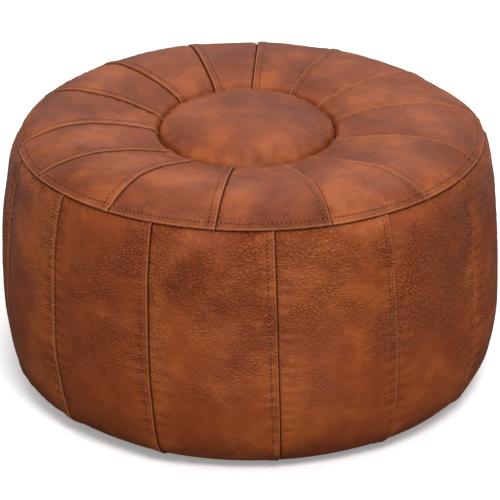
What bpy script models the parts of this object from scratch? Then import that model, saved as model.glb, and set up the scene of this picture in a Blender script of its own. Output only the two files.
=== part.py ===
"""Moroccan leather pouf.

A round stuffed seat, 0.55 m across and about 0.31 m high. Fourteen leather wedges are sewn
round a small centre disc to make the top. Fourteen gores make the side and turn under to a
flat resting ring. A recessed base in two halves is closed by a zip along its middle. Inside
are a cotton liner, open underneath, and its stuffing.

Metres, +Z up, front towards -Y. The origin is on the floor under the middle of the pouf.
Seam angles are measured round from the front, positive towards +X.
"""

import math

import bmesh
import bpy
import numpy as np
from mathutils import Matrix

# Where the three ring seams lie, as (radius, height).
DISC_SEAM = (0.0961, 0.2826)
CROWN = (0.1926, 0.2993)
RIM_SEAM = (0.2531, 0.2779)

# The side between the rim seam and the edge of the base, down, under and up into the recess.
SIDE_LINE = (
    (0.2531, 0.2774),
    (0.2597, 0.2540),
    (0.2648, 0.2270),
    (0.2682, 0.1950),
    (0.2705, 0.1600),
    (0.2716, 0.1250),
    (0.2712, 0.0930),
    (0.2685, 0.0640),
    (0.2630, 0.0390),
    (0.2540, 0.0180),
    (0.2390, 0.0050),
    (0.2200, 0.0000),
    (0.2010, 0.0000),
    (0.1935, 0.0040),
    (0.1905, 0.0095),
)
FIRST_LEVEL_ROW = 10

# The stuffing has settled towards the front, so the top leans that way, the disc most.
LEAN = 0.047
DISC_LEAN = 0.050
DISC_SHIFT_X = -0.004
DISC_DOME = 0.0150

# Seams between the wedges, in degrees, where they meet the rim and the disc.
WEDGE_SEAMS_RIM = (-161.8, -135.3, -112.4, -80.4, -60.8, -34.2, -7.8, 18.5, 45.2, 69.8, 96.9, 128.1, 156.1, 178.3)
WEDGE_SEAMS_DISC = (-158.4, -130.5, -104.5, -84.7, -50.9, -33.2, -7.2, 21.1, 40.0, 68.5, 100.1, 126.8, 151.6, 176.8)
GORE_SEAMS = (-175.0, -149.5, -124.0, -99.0, -74.0, -48.5, -22.5, 5.3, 32.5, 59.5, 84.7, 110.0, 135.0, 160.0)

LEATHER = 0.0020
PUFF = 0.0035
SEAM_GAP = 0.0004
RIM_GAP = 0.0018
PANEL_COLUMNS = 6
WEDGE_ROWS = 8

BASE_RADIUS = 0.1885
BASE_Z = 0.0105
SLOT_HALF_LENGTH = 0.1630
SLOT_HALF_WIDTH = 0.0065

LINER = 0.0010
LINER_INSET = 0.0060
STUFFING_INSET = 0.0090
TURNED_COLUMNS = 24
LINER_BOTTOM_Z = 0.0165
LINER_MOUTH_RADIUS = 0.060

TAPE_SIZE = (0.3400, 0.0121, 0.0008)
TAPE_Z = 0.0122
TAPE_Y = 0.00695
COIL_SIZE = (0.3170, 0.0018, 0.0020)
COIL_Z = 0.0105
COIL_Y = 0.0015
STOP_SIZE = (0.0025, 0.0048, 0.0020)
STOP_X = 0.16025
SLIDER_X = 0.1500
PLATE_SIZE = (0.0110, 0.0090, 0.0014)
LOWER_PLATE_Z = 0.0085
UPPER_PLATE_Z = 0.0136
NECK_SIZE = (0.0025, 0.0007, 0.0045)
LUG_SIZE = (0.0028, 0.0008, 0.0037)
LUG_Y = 0.0019
PIN_Z = 0.0056
PIN_RADIUS = 0.00060
EYE_HOLE_RADIUS = 0.00067
EYE_RADIUS = 0.0016
EYE_WIDTH = 0.0024
PULL_LENGTH = 0.0200
PULL_WIDTH = 0.0070
PULL_THICKNESS = 0.0014


def clear_scene():
    for obj in list(bpy.data.objects):
        bpy.data.objects.remove(obj)


def new_collection(name, hidden):
    collection = bpy.data.collections.new(name)
    collection.hide_render = hidden
    bpy.context.scene.collection.children.link(collection)
    return collection


def new_material(name, color, roughness, metallic=0.0):
    material = bpy.data.materials.new(name)
    material.use_nodes = True
    shader = material.node_tree.nodes["Principled BSDF"]
    shader.inputs["Base Color"].default_value = (*color, 1.0)
    shader.inputs["Roughness"].default_value = roughness
    shader.inputs["Metallic"].default_value = metallic
    return material


def add_mesh(name, bm, material, collection):
    """Turns a bmesh into a smooth-shaded object of the given collection."""
    mesh = bpy.data.meshes.new(name)
    for face in bm.faces:
        face.smooth = True
    bm.to_mesh(mesh)
    bm.free()
    mesh.materials.append(material)
    obj = bpy.data.objects.new(name, mesh)
    collection.objects.link(obj)
    return obj


def solidify(obj, thickness):
    """Gives an open sheet its thickness, on the inner side."""
    modifier = obj.modifiers.new("thickness", "SOLIDIFY")
    modifier.thickness = thickness
    modifier.offset = -1.0


def bevel(obj, width, segments=2):
    modifier = obj.modifiers.new("bevel", "BEVEL")
    modifier.width = width
    modifier.segments = segments


def near_disc(radius):
    """1 at the disc seam, falling to 0 at the crown."""
    return np.clip((CROWN[0] - radius) / (CROWN[0] - DISC_SEAM[0]), 0.0, 1.0)


def place(radius, height, angle):
    """The point of the settled pouf at this radius, height and angle from the front."""
    x = radius * math.sin(angle)
    y = -radius * math.cos(angle)
    fade = float(near_disc(radius)) if height > RIM_SEAM[1] - 0.03 else 0.0
    lean = LEAN * (height / RIM_SEAM[1]) ** 2 + DISC_LEAN * fade
    return x + DISC_SHIFT_X * fade, y, height + lean * y


def top_height(radius):
    """Height of the wedges' seam lines: up from the disc to the crown and down to the rim."""
    if radius < CROWN[0]:
        part = (CROWN[0] - radius) / (CROWN[0] - DISC_SEAM[0])
        return CROWN[1] - (CROWN[1] - DISC_SEAM[1]) * part**2.07
    part = (radius - CROWN[0]) / (RIM_SEAM[0] - CROWN[0])
    return CROWN[1] - (CROWN[1] - RIM_SEAM[1]) * part**2.08


def disc_height(radius):
    """Height of the centre disc's gentle dome."""
    return DISC_SEAM[1] + DISC_DOME * (1.0 - (radius / DISC_SEAM[0]) ** 2.6)


def outward(rows):
    """Unit normals of a profile that runs outwards over the top and then down."""
    rows = np.asarray(rows)
    run = np.gradient(rows, axis=0)
    normals = np.stack([-run[:, 1], run[:, 0]], axis=1)
    return normals / np.linalg.norm(normals, axis=1)[:, None]


def inset(rows, distance):
    return np.asarray(rows) - distance * outward(rows)


def panel(name, rows, seams, puffs, material, collection):
    """One leather panel: the turned surface between two seams, puffed up between them.

    rows are (radius, height), seams the two seam angles at each row, and puffs how far
    the middle of the panel stands out at each row.
    """
    bm = bmesh.new()
    normals = outward(rows)
    grid = []
    for (radius, height), normal, (first, last), puff in zip(rows, normals, seams, puffs):
        half_gap = 0.5 * SEAM_GAP / radius
        line = []
        for column in range(PANEL_COLUMNS + 1):
            across = column / PANEL_COLUMNS
            angle = first + half_gap + (last - first - 2.0 * half_gap) * across
            rise = puff * (1.0 - abs(2.0 * across - 1.0) ** 4)
            line.append(bm.verts.new(place(radius + normal[0] * rise, height + normal[1] * rise, angle)))
        grid.append(line)
    for upper, lower in zip(grid, grid[1:]):
        for column in range(PANEL_COLUMNS):
            bm.faces.new((upper[column], lower[column], lower[column + 1], upper[column + 1]))
    obj = add_mesh(name, bm, material, collection)
    solidify(obj, LEATHER)
    return obj


def turned(name, rows, material, collection, base=False):
    """A sheet turned about the axis from its centre (row 0), closed underneath if base is set."""
    bm = bmesh.new()
    rings = []
    for radius, height in rows[1:]:
        angles = [2.0 * math.pi * step / TURNED_COLUMNS for step in range(TURNED_COLUMNS)]
        rings.append([bm.verts.new(place(radius, height, angle)) for angle in angles])
    centre = bm.verts.new(place(*rows[0], 0.0))
    for step in range(TURNED_COLUMNS):
        after = (step + 1) % TURNED_COLUMNS
        bm.faces.new((centre, rings[0][step], rings[0][after]))
        for upper, lower in zip(rings, rings[1:]):
            bm.faces.new((upper[step], lower[step], lower[after], upper[after]))
    if base:
        bm.faces.new(rings[-1][::-1])
    return add_mesh(name, bm, material, collection)


def seam_pairs(seams):
    """Neighbouring seam angles, in radians, with the last pair closing the round."""
    closed = list(seams) + [seams[0] + 360.0]
    return [(math.radians(a), math.radians(b)) for a, b in zip(closed, closed[1:])]


def build_wedges(material, collection):
    radii = np.linspace(DISC_SEAM[0] + SEAM_GAP, RIM_SEAM[0], WEDGE_ROWS)
    rows = [(radius, top_height(radius)) for radius in radii]
    along = np.linspace(0.0, 1.0, WEDGE_ROWS)
    puffs = PUFF * (1.0 - abs(2.0 * along - 1.0) ** 4)
    pairs = zip(seam_pairs(WEDGE_SEAMS_DISC), seam_pairs(WEDGE_SEAMS_RIM))
    for number, (at_disc, at_rim) in enumerate(pairs, 1):
        seams = [tuple(np.array(at_disc) * (1.0 - t) + np.array(at_rim) * t) for t in along]
        panel(f"top_wedge_{number:02d}", rows, seams, puffs, material, collection)


def build_gores(material, collection):
    rows = [(radius, height) for radius, height in SIDE_LINE]
    rows[0] = (RIM_SEAM[0] + 0.0005, RIM_SEAM[1] - RIM_GAP)
    heights = np.array(rows)[:, 1]
    puffs = PUFF * np.clip((RIM_SEAM[1] - heights) / 0.05, 0.0, 1.0) * np.clip((heights - 0.005) / 0.05, 0.0, 1.0)
    puffs[FIRST_LEVEL_ROW:] = 0.0
    for number, pair in enumerate(seam_pairs(GORE_SEAMS), 1):
        panel(f"side_gore_{number:02d}", rows, [pair] * len(rows), puffs, material, collection)


def build_disc(material, collection):
    radii = np.linspace(0.0, DISC_SEAM[0] - SEAM_GAP, 6)
    obj = turned("top_disc", [(radius, disc_height(radius)) for radius in radii], material, collection)
    solidify(obj, LEATHER)


def inner_rows(distance):
    """Profile of a lining this far inside the leather, from the middle of the top down."""
    disc = [(radius, disc_height(radius)) for radius in (0.0, 0.055, DISC_SEAM[0])]
    top = [(radius, top_height(radius)) for radius in (0.13, 0.16, 0.19, 0.225, 0.246)]
    side = SIDE_LINE[1:10:2]
    return inset(disc + top + list(side), distance)


def build_liner(material, collection):
    rows = [tuple(row) for row in inner_rows(LINER_INSET)]
    rows += [(0.225, LINER_BOTTOM_Z), (LINER_MOUTH_RADIUS, LINER_BOTTOM_Z)]
    obj = turned("inner_liner", rows, material, collection)
    solidify(obj, LINER)


def build_stuffing(material, collection):
    rows = [tuple(row) for row in inner_rows(STUFFING_INSET)]
    rows.append((0.215, LINER_BOTTOM_Z + LINER_INSET))
    turned("stuffing", rows, material, collection, base=True)


def build_base_half(name, side, material, collection):
    """Half of the base, a flat plate with a straight edge notched for the zip."""
    turn = [math.pi * step / 20 for step in range(21)]
    edge = 0.5 * SEAM_GAP
    start = math.asin(edge / BASE_RADIUS)
    outline = []
    for angle in turn:
        angle = min(max(angle, start), math.pi - start)
        outline.append((BASE_RADIUS * math.cos(angle), BASE_RADIUS * math.sin(angle)))
    for x, y in ((-1, edge), (-1, SLOT_HALF_WIDTH), (1, SLOT_HALF_WIDTH), (1, edge)):
        outline.append((x * SLOT_HALF_LENGTH, y))
    curve = bpy.data.curves.new(name, "CURVE")
    curve.dimensions = "2D"
    curve.fill_mode = "BOTH"
    curve.extrude = 0.5 * LEATHER
    spline = curve.splines.new("POLY")
    spline.points.add(len(outline) - 1)
    for point, (x, y) in zip(spline.points, outline):
        point.co = (x, side * y, 0.0, 1.0)
    spline.use_cyclic_u = True
    curve.materials.append(material)
    obj = bpy.data.objects.new(name, curve)
    obj.location = (0.0, 0.0, BASE_Z)
    collection.objects.link(obj)


def add_block(name, size, centre, material, collection, origin=(0.0, 0.0, 0.0)):
    """A box with its sides in the mesh, placed at centre, with its object origin at origin."""
    bm = bmesh.new()
    bmesh.ops.create_cube(bm, size=1.0)
    bmesh.ops.scale(bm, vec=size, verts=bm.verts)
    bmesh.ops.translate(bm, vec=[c - o for c, o in zip(centre, origin)], verts=bm.verts)
    obj = add_mesh(name, bm, material, collection)
    obj.data.shade_flat()
    obj.location = origin
    return obj


def add_rod(name, radius, width, origin, material, collection):
    """A round bar along Y, centred on its origin."""
    bm = bmesh.new()
    bmesh.ops.create_cone(bm, cap_ends=True, segments=24, radius1=radius, radius2=radius, depth=width)
    bmesh.ops.rotate(bm, cent=(0, 0, 0), matrix=Matrix.Rotation(0.5 * math.pi, 3, "X"), verts=bm.verts)
    obj = add_mesh(name, bm, material, collection)
    obj.location = origin
    return obj


def combine(obj, other, operation):
    """Joins the other solid to obj, or cuts it away, and makes the other one a hidden helper."""
    modifier = obj.modifiers.new(operation.lower(), "BOOLEAN")
    modifier.operation = operation
    modifier.solver = "EXACT"
    modifier.object = other
    other.hide_render = True
    other.display_type = "WIRE"


def build_zip(materials, collection, helpers):
    for name, side in (("front", -1), ("back", 1)):
        centre = (0.0, side * TAPE_Y, TAPE_Z)
        add_block(f"zip_tape_{name}", TAPE_SIZE, centre, materials["tape"], collection)
        centre = (0.0, side * COIL_Y, COIL_Z)
        coil = add_block(f"zip_coil_{name}", COIL_SIZE, centre, materials["coil"], collection)
        bevel(coil, 0.0006)
    for name, side in (("bottom", -1), ("top", 1)):
        centre = (side * STOP_X, 0.0, COIL_Z)
        stop = add_block(f"zip_{name}_stop", STOP_SIZE, centre, materials["metal"], collection)
        bevel(stop, 0.0004)


def build_slider(material, collection, helpers):
    """Two plates joined by a neck between the coils, with two lugs and a pin for the pull."""
    origin = (SLIDER_X, 0.0, PIN_Z)
    slider = add_block("zip_slider", PLATE_SIZE, (SLIDER_X, 0.0, LOWER_PLATE_Z), material, collection, origin)
    pieces = [("slider_upper_plate", PLATE_SIZE, (SLIDER_X, 0.0, UPPER_PLATE_Z))]
    neck_z = 0.5 * (LOWER_PLATE_Z + UPPER_PLATE_Z)
    pieces.append(("slider_neck", NECK_SIZE, (SLIDER_X + 0.0038, 0.0, neck_z)))
    for name, side in (("front", -1), ("back", 1)):
        centre = (SLIDER_X, side * LUG_Y, PIN_Z - 0.0011 + 0.5 * LUG_SIZE[2])
        pieces.append((f"slider_lug_{name}", LUG_SIZE, centre))
    for name, size, centre in pieces:
        combine(slider, add_block(name, size, centre, material, helpers), "UNION")
    pin = add_rod("slider_pin", PIN_RADIUS, 2.0 * LUG_Y, origin, material, helpers)
    combine(slider, pin, "UNION")


def build_pull(material, collection, helpers):
    """A flat tab with an eye round the slider's pin; its origin is on the pin's axis."""
    origin = (SLIDER_X, 0.0, PIN_Z)
    pull = add_rod("zip_pull", EYE_RADIUS, EYE_WIDTH, origin, material, collection)
    stem = ((0.0036, EYE_WIDTH, PULL_THICKNESS), (SLIDER_X - 0.0026, 0.0, PIN_Z))
    tab = ((PULL_LENGTH, PULL_WIDTH, PULL_THICKNESS), (SLIDER_X - 0.0035 - 0.5 * PULL_LENGTH, 0.0, PIN_Z))
    combine(pull, add_block("pull_stem", *stem, material, helpers), "UNION")
    combine(pull, add_block("pull_tab", *tab, material, helpers), "UNION")
    hole = add_rod("pull_hole", EYE_HOLE_RADIUS, 0.01, origin, material, helpers)
    combine(pull, hole, "DIFFERENCE")


def main():
    clear_scene()
    pouf = new_collection("moroccan_leather_pouf", hidden=False)
    helpers = new_collection("cutters", hidden=True)
    top = new_material("leather_top", (0.300, 0.098, 0.044), 0.42)
    side = new_material("leather_side", (0.254, 0.065, 0.023), 0.45)
    base = new_material("leather_base", (0.200, 0.060, 0.024), 0.60)
    cotton = new_material("liner_cotton", (0.620, 0.560, 0.450), 0.90)
    fibre = new_material("stuffing_fibre", (0.700, 0.660, 0.580), 0.95)
    metal = new_material("zip_brass", (0.480, 0.330, 0.130), 0.35, 1.0)
    zip_materials = {
        "tape": new_material("zip_tape", (0.130, 0.050, 0.022), 0.85),
        "coil": new_material("zip_coil", (0.110, 0.045, 0.020), 0.50),
        "metal": metal,
    }
    build_disc(top, pouf)
    build_wedges(top, pouf)
    build_gores(side, pouf)
    build_base_half("base_front", -1, base, pouf)
    build_base_half("base_back", 1, base, pouf)
    build_zip(zip_materials, pouf, helpers)
    build_slider(metal, pouf, helpers)
    build_pull(metal, pouf, helpers)
    build_liner(cotton, pouf)
    build_stuffing(fibre, pouf)


main()
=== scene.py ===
"""Moroccan leather pouf: the looks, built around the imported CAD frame.

Each leather panel is a fine grid laid between its two seams, swelled by a cloth simulation,
then given its folded seam band, puckers and creases. Stitches, hems and the zip are pieces of
their own. Metres, +Z up, front towards -Y; angles go round from the front, positive to +X.
"""

import math

import bpy
import numpy as np
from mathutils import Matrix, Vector


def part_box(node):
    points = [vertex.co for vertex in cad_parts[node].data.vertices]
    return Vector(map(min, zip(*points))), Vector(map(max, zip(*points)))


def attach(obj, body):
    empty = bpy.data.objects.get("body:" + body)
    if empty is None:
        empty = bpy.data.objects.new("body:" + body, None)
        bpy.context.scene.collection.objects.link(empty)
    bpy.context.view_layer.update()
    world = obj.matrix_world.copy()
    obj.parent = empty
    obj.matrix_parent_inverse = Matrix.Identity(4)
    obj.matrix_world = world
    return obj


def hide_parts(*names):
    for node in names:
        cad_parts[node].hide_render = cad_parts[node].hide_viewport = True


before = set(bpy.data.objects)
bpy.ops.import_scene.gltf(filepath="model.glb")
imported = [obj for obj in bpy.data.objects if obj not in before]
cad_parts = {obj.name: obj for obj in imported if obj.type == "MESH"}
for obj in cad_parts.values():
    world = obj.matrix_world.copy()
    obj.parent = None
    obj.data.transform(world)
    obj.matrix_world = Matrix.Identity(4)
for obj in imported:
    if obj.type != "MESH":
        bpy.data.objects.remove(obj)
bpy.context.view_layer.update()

# Profile of the leather, as (radius, height). It follows the CAD, but for the rim and the foot,
# which are drawn in and raised a little.
DISC_SEAM = (0.0961, 0.2826)
CROWN = (0.1926, 0.2993)
RIM_SEAM = (0.2511, 0.2813)
SIDE_LINE = (
    (0.2470, 0.2790),
    (0.2500, 0.2790),
    (0.2522, 0.2781),
    (0.2541, 0.2752),
    (0.2562, 0.2685),
    (0.2602, 0.2540),
    (0.2648, 0.2270),
    (0.2682, 0.1950),
    (0.2705, 0.1600),
    (0.2716, 0.1250),
    (0.2712, 0.0930),
    (0.2685, 0.0640),
    (0.2642, 0.0400),
    (0.2566, 0.0200),
    (0.2384, 0.0056),
    (0.2145, 0.0000),
    (0.2010, 0.0000),
    (0.1935, 0.0040),
    (0.1905, 0.0095),
)
# How far the whole pouf leans to the front, how much more its disc does, and where the disc sits.
LEAN = 0.047
DISC_LEAN = 0.050
DISC_SHIFT_X = -0.004
DISC_DOME = 0.0150
# Where the side is drawn in, or bulges if the depth is negative, as (angle, height, how far each
# of the two spreads, depth).
PINCHES = (
    (-90.0, 0.245, 38.0, 0.035, 0.0036),
    (-82.0, 0.060, 38.0, 0.040, 0.0026),
    (-62.0, 0.020, 18.0, 0.010, -0.0016),
    (-40.0, 0.006, 20.0, 0.009, 0.0035),
)
# How far the gores' seams twist round towards the foot, in degrees.
TWIST = 1.6
# Where the rim has settled lower, or higher if the depth is negative, as (angle, spread, depth).
SAGS = (
    (124.0, 22.0, 0.0044),
    (-86.0, 28.0, 0.0042),
    (-146.0, 18.0, -0.0014),
    (150.0, 14.0, -0.0012),
)

WEDGES = [f"top_wedge_{number:02d}" for number in range(1, 15)]
GORES = [f"side_gore_{number:02d}" for number in range(1, 15)]

# Leather construction.
SKIN = 0.0012
ALLOWANCE_DEPTH = 0.0040
SEAM_DEPTH = 0.0014
BAND_RISE = 0.0009
STITCH_DENT = 0.0006
LIP_RISE = 0.0007
LIP_LENGTH = 0.0065
LIP = (
    (0.0004, -0.0003),
    (0.0006, -0.0008),
    (0.0003, -0.0012),
    (-0.0006, -0.0014),
    (-0.0032, -0.0015),
)
DISC_GROOVE = 0.0036
STITCH_FROM_SEAM = 0.0080
RIM_STITCH_FROM_EDGE = 0.0062
STITCH_PITCH_TOP = 0.0046
STITCH_PITCH_SIDE = 0.0042
STITCH_SHARE = 0.55
THREAD_RADIUS = 0.00042
THREAD_SIDES = 6
THREAD_ARCH = (
    (-0.5, -1.2),
    (-0.4, 0.15),
    (-0.2, 0.75),
    (0.0, 0.9),
    (0.2, 0.75),
    (0.4, 0.15),
    (0.5, -1.2),
)
HOLE_SIDES = 8
HOLE_RINGS = ((0.00120, -0.0004), (0.00115, 0.00006), (0.0006, 0.00014))
SEAM_SHADE = 0.0007
DISC_SEAM_SHADE = 0.0011
STITCH_SHADE = 0.42
RIDGE_FROM_SEAM = 0.0012
RIDGE_WIDTH = 0.0006
SIDE_HELD_HEIGHT = 0.0150
# How far apart the panels lie on the noise of the hide, so that no two are alike.
HIDE_SPACING = 0.31
DISC_HIDE = 7.7
BASE_HIDE = 40.0
GRID_STEP = 0.0026

# Underside: base halves, zip and lining.
BASE_REACH = 0.0013
BASE_BULGE = 0.0030
SLOT_REACH = 0.1660
SLOT_HALF_WIDTH = 0.0060
HALF_GAP = 0.0002
HEM_STITCH = 0.0030
HEM_TURN_IN = 0.0030
DOWN = (0.0, 0.0, -1.0)
COIL_PITCH = 0.00145
COIL_STEPS = 10
COIL_MIDDLE = 0.0009
COIL_HALF_WIDTH = 0.0012
COIL_HALF_HEIGHT = 0.00078
COIL_WIRE = 0.00026
CORD_Y = 0.00165
CORD_RADIUS = 0.00032
TAPE_STITCH_PITCH = 0.0026
PLATE_SIZE = (0.0110, 0.0090, 0.0014)
LOWER_PLATE_UP = 0.0029
UPPER_PLATE_UP = 0.0080
NECK_X = 0.0038
FLANGE_Y = 0.0036
LUG_Y = 0.0019
LUG_DROP = 0.0011
PIN_RADIUS = 0.00060
EYE_MIDDLE = 0.00114
PULL_LENGTH = 0.0200
PULL_WIDTH = 0.0070
PULL_THICKNESS = 0.0014
LINER_INSET = 0.0060
STUFFING_INSET = 0.0090
LINER_FOOT = 0.0350
LINER_SHOULDER = 0.2600
LINER_MOUTH = 0.0600
LINER_PANELS = 8
LINER_COLUMNS = 240
LINER_STITCH_PITCH = 0.0045
STUFFING_COLUMNS = 220
TURNED_PLACE_RADIUS = 0.20

# Cloth simulation that swells the panels between their seams.
CLOTH_STEP = 0.0055
CLOTH_FRAMES = 20
CLOTH_PRESSURE = 420.0
CLOTH_MASS = 0.02
CLOTH_STIFFNESS = 25.0
CLOTH_SHEAR = 10.0
CLOTH_BENDING = 0.05
CLOTH_DAMPING = 2.0
CLOTH_QUALITY = 6
CLOTH_GATHER = 0.035
CLOTH_SLACK = 0.002
GATHER_REACH = 0.012
GATHER_UNEVEN = 0.45
CLOTH_CAP = 0.009
TOP_SWELL = 0.62

# Leather colours: dark, middle, light, and lighter along the folds, which is wear and a painted highlight
# where the folds catch the light.
TOP_TONES = (
    (0.160, 0.032, 0.007),
    (0.222, 0.047, 0.010),
    (0.310, 0.073, 0.016),
    (0.540, 0.200, 0.085),
)
# The side's tones are painted lighter than the top's: painted light that makes up for the side being less
# lit than the top.
SIDE_TONES = (
    (0.242, 0.048, 0.010),
    (0.282, 0.058, 0.012),
    (0.358, 0.083, 0.016),
    (0.540, 0.195, 0.078),
)
BASE_TONES = (
    (0.075, 0.018, 0.006),
    (0.120, 0.032, 0.012),
    (0.165, 0.048, 0.018),
    (0.300, 0.110, 0.050),
)

# Thread, and the painted shade of the needle holes, as (how many lumps of tone in a metre, dark, light,
# rough, gloss).
THREAD_LOOK = (900.0, (0.240, 0.080, 0.028), (0.420, 0.150, 0.058), 0.6, 0.2)
NEEDLE_SHADE_LOOK = (700.0, (0.030, 0.008, 0.003), (0.070, 0.018, 0.006), 0.9, 0.05)

# Where the grain shows: between which heights it changes, and how strong it is at each.
TOP_GRAIN = (0.268, 0.294, 1.0, 0.35)
SIDE_GRAIN = (0.060, 0.230, 0.25, 1.0)
BASE_GRAIN = (0.0, 0.1, 1.0, 1.0)

# Sizes of the leather's patterns, as how many lumps lie in a metre.
CLOUDS = 13.0
GRAIN_PATCHES = 17.0
MOTTLE = 55.0
PEBBLES = 470.0
SPECKS = 560.0
# The two sets of wrinkles, as (direction in degrees, how many along, across and between panels).
WRINKLES = ((48.0, (150.0, 350.0, 1.0)), (-36.0, (150.0, 330.0, 1.0)))

# Brightness of the studio tent: its walls, its ceiling, how much of both shines on the leather,
# the white wall behind, and what the camera sees behind the object.
TENT_HORIZON = 0.34
TENT_TOP = 0.9
TENT_SHINE = 0.25
TENT_BACK = 0.84
TENT_SEEN = 1.0

# Lights, as (name, place, size, power, whether it only shines on the leather), all with one aim.
LIGHTS = (
    ("overhead", (0.50, 0.70, 2.30), 1.8, 14.5, False),
    ("front", (0.28, -2.05, 2.50), 1.0, 63.0, False),
    ("glint", (0.45, -2.40, 0.45), 0.35, 14.0, True),
)
LIGHT_AIM = (0.0, 0.0, 0.2)

# The floor: its size, how bright it is to the camera, the light it gives back, and how it mirrors
# in the leather, dark within the first distance and lighter beyond the second.
FLOOR_HALF = 12.0
FLOOR_DROP = 0.0005
FLOOR_SEEN = 0.95
FLOOR_GLOW = 0.24
FLOOR_BOUNCE = (0.31, 0.33)
FLOOR_SHINE = (0.06, 0.45)
FLOOR_SHINE_REACH = (0.7, 1.3)

# The photograph's view, fitted to the object's outline and seams.
CAMERA_ROUND = (0.0, 0.0, 0.15)
CAMERA_AIM = (-0.0006, 0.0, 0.1375)
CAMERA_DISTANCE = 2.2
CAMERA_ELEVATION = 23.45
CAMERA_LENS = 142.6
CAMERA_SENSOR = 36.0

# Where the grid's points lie near its edges, as distances from the edge.
FIRST_EDGE = (0.0, 0.0003, 0.0006, 0.0010, 0.0016, 0.0026, 0.0042, 0.0062)
LAST_EDGE = (
    *(0.0, 0.0003, 0.0006, 0.0009, 0.0012, 0.0016, 0.0021, 0.0029, 0.0040, 0.0055),
    *(0.0067, 0.0075, 0.0080, 0.0085, 0.0092, 0.0102, 0.0116, 0.0135),
)
DISC_EDGE = (0.0, 0.0006, 0.0012, 0.0020, 0.0030, 0.0042, 0.0056, 0.0075, 0.0100)
RIM_EDGE = (
    *(0.0, 0.0004, 0.0008, 0.0013, 0.0020, 0.0030, 0.0042, 0.0051, 0.0057),
    *(0.0062, 0.0067, 0.0074, 0.0084, 0.0098, 0.0120),
)
GORE_TOP_EDGE = (0.0, 0.0015, 0.0030, 0.0038, 0.0046, 0.0056, 0.0070, 0.0090)


# ---------------------------------------------------------------- noise and lines


def lattice_noise(points, scale, seed):
    """Smooth noise from -1 to 1 at the given points; scale is the size of its lumps in metres."""
    table = np.random.default_rng(seed).uniform(-1.0, 1.0, 4096)
    cells = np.asarray(points, float) / scale + 1000.0
    low = np.floor(cells).astype(np.int64)
    part = cells - low
    part = part * part * (3.0 - 2.0 * part)
    total = np.zeros(part.shape[:-1])
    for corner in range(8):
        offset = np.array([corner & 1, corner >> 1 & 1, corner >> 2 & 1])
        at = low + offset
        index = (at[..., 0] * 73856093 ^ at[..., 1] * 19349663 ^ at[..., 2] * 83492791) & 4095
        weight = np.where(offset == 1, part, 1.0 - part).prod(axis=-1)
        total += weight * table[index]
    return total


def smooth_step(low, high, value):
    """0 below low, 1 above high, and a smooth rise between."""
    part = np.clip((value - low) / (high - low), 0.0, 1.0)
    return part * part * (3.0 - 2.0 * part)


def unit(vectors):
    return vectors / np.linalg.norm(vectors, axis=-1, keepdims=True)


def resample(points, step):
    """Points about one step apart along a smooth curve through the given ones."""
    points = np.asarray(points, float)
    first = 2.0 * points[0] - points[1]
    last = 2.0 * points[-1] - points[-2]
    padded = np.vstack([first, points, last])
    fine = []
    for a, b, c, d in zip(padded, padded[1:], padded[2:], padded[3:]):
        t = np.linspace(0.0, 1.0, 24, endpoint=False)[:, None]
        curve = 2.0 * b + (c - a) * t + (2.0 * a - 5.0 * b + 4.0 * c - d) * t**2
        fine.append(0.5 * (curve + (3.0 * b - 3.0 * c + d - a) * t**3))
    fine = np.vstack(fine + [points[-1:]])
    return even_points(fine, step)


def lengths_along(line):
    """Distance of each point from the first, along the line."""
    return np.concatenate([[0.0], np.cumsum(np.linalg.norm(np.diff(line, axis=0), axis=1))])


def read_line(lengths, line, at):
    """Points of the line at these lengths along it."""
    return np.stack([np.interp(at, lengths, column) for column in line.T], axis=-1)


def even_points(line, step):
    """The line again, with its points evenly spaced about one step apart."""
    lengths = lengths_along(line)
    count = max(2, round(lengths[-1] / step) + 1)
    return read_line(lengths, line, np.linspace(0.0, lengths[-1], count))


def smooth_read(values, at):
    """Values along the first axis, read at fractional places on a smooth curve through them."""
    low = np.clip(np.floor(at).astype(int), 0, len(values) - 2)
    t = (at - low).reshape(-1, *[1] * (values.ndim - 1))
    weights = (
        0.5 * (-t + 2.0 * t**2 - t**3),
        0.5 * (2.0 - 5.0 * t**2 + 3.0 * t**3),
        0.5 * (t + 4.0 * t**2 - 3.0 * t**3),
        0.5 * (t**3 - t**2),
    )
    taps = (values[np.clip(low + step, 0, len(values) - 1)] for step in (-1, 0, 1, 2))
    return sum(weight * tap for weight, tap in zip(weights, taps))


def outward(rows):
    """Unit normals of a profile that runs outwards over the top and then down."""
    run = np.gradient(rows, axis=0)
    return unit(np.stack([-run[:, 1], run[:, 0]], axis=1))


# ---------------------------------------------------------------- the settled pouf


def top_height(radius):
    """Height of the wedges' seam lines: up from the disc to the crown and down to the rim."""
    inner = np.clip((CROWN[0] - radius) / (CROWN[0] - DISC_SEAM[0]), 0.0, None)
    outer = np.clip((radius - CROWN[0]) / (RIM_SEAM[0] - CROWN[0]), 0.0, None)
    drop = (CROWN[1] - DISC_SEAM[1]) * inner**2.07 + (CROWN[1] - RIM_SEAM[1]) * outer**2.08
    return CROWN[1] - drop


def disc_height(radius):
    return DISC_SEAM[1] + DISC_DOME * (1.0 - (radius / DISC_SEAM[0]) ** 2.6)


def degrees_apart(angle, middle):
    return (np.degrees(angle) - middle + 180.0) % 360.0 - 180.0


def near(distance, centre, width):
    """1 where the distance is the centre, falling off smoothly over the width."""
    return np.exp(-(((distance - centre) / width) ** 2))


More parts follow.
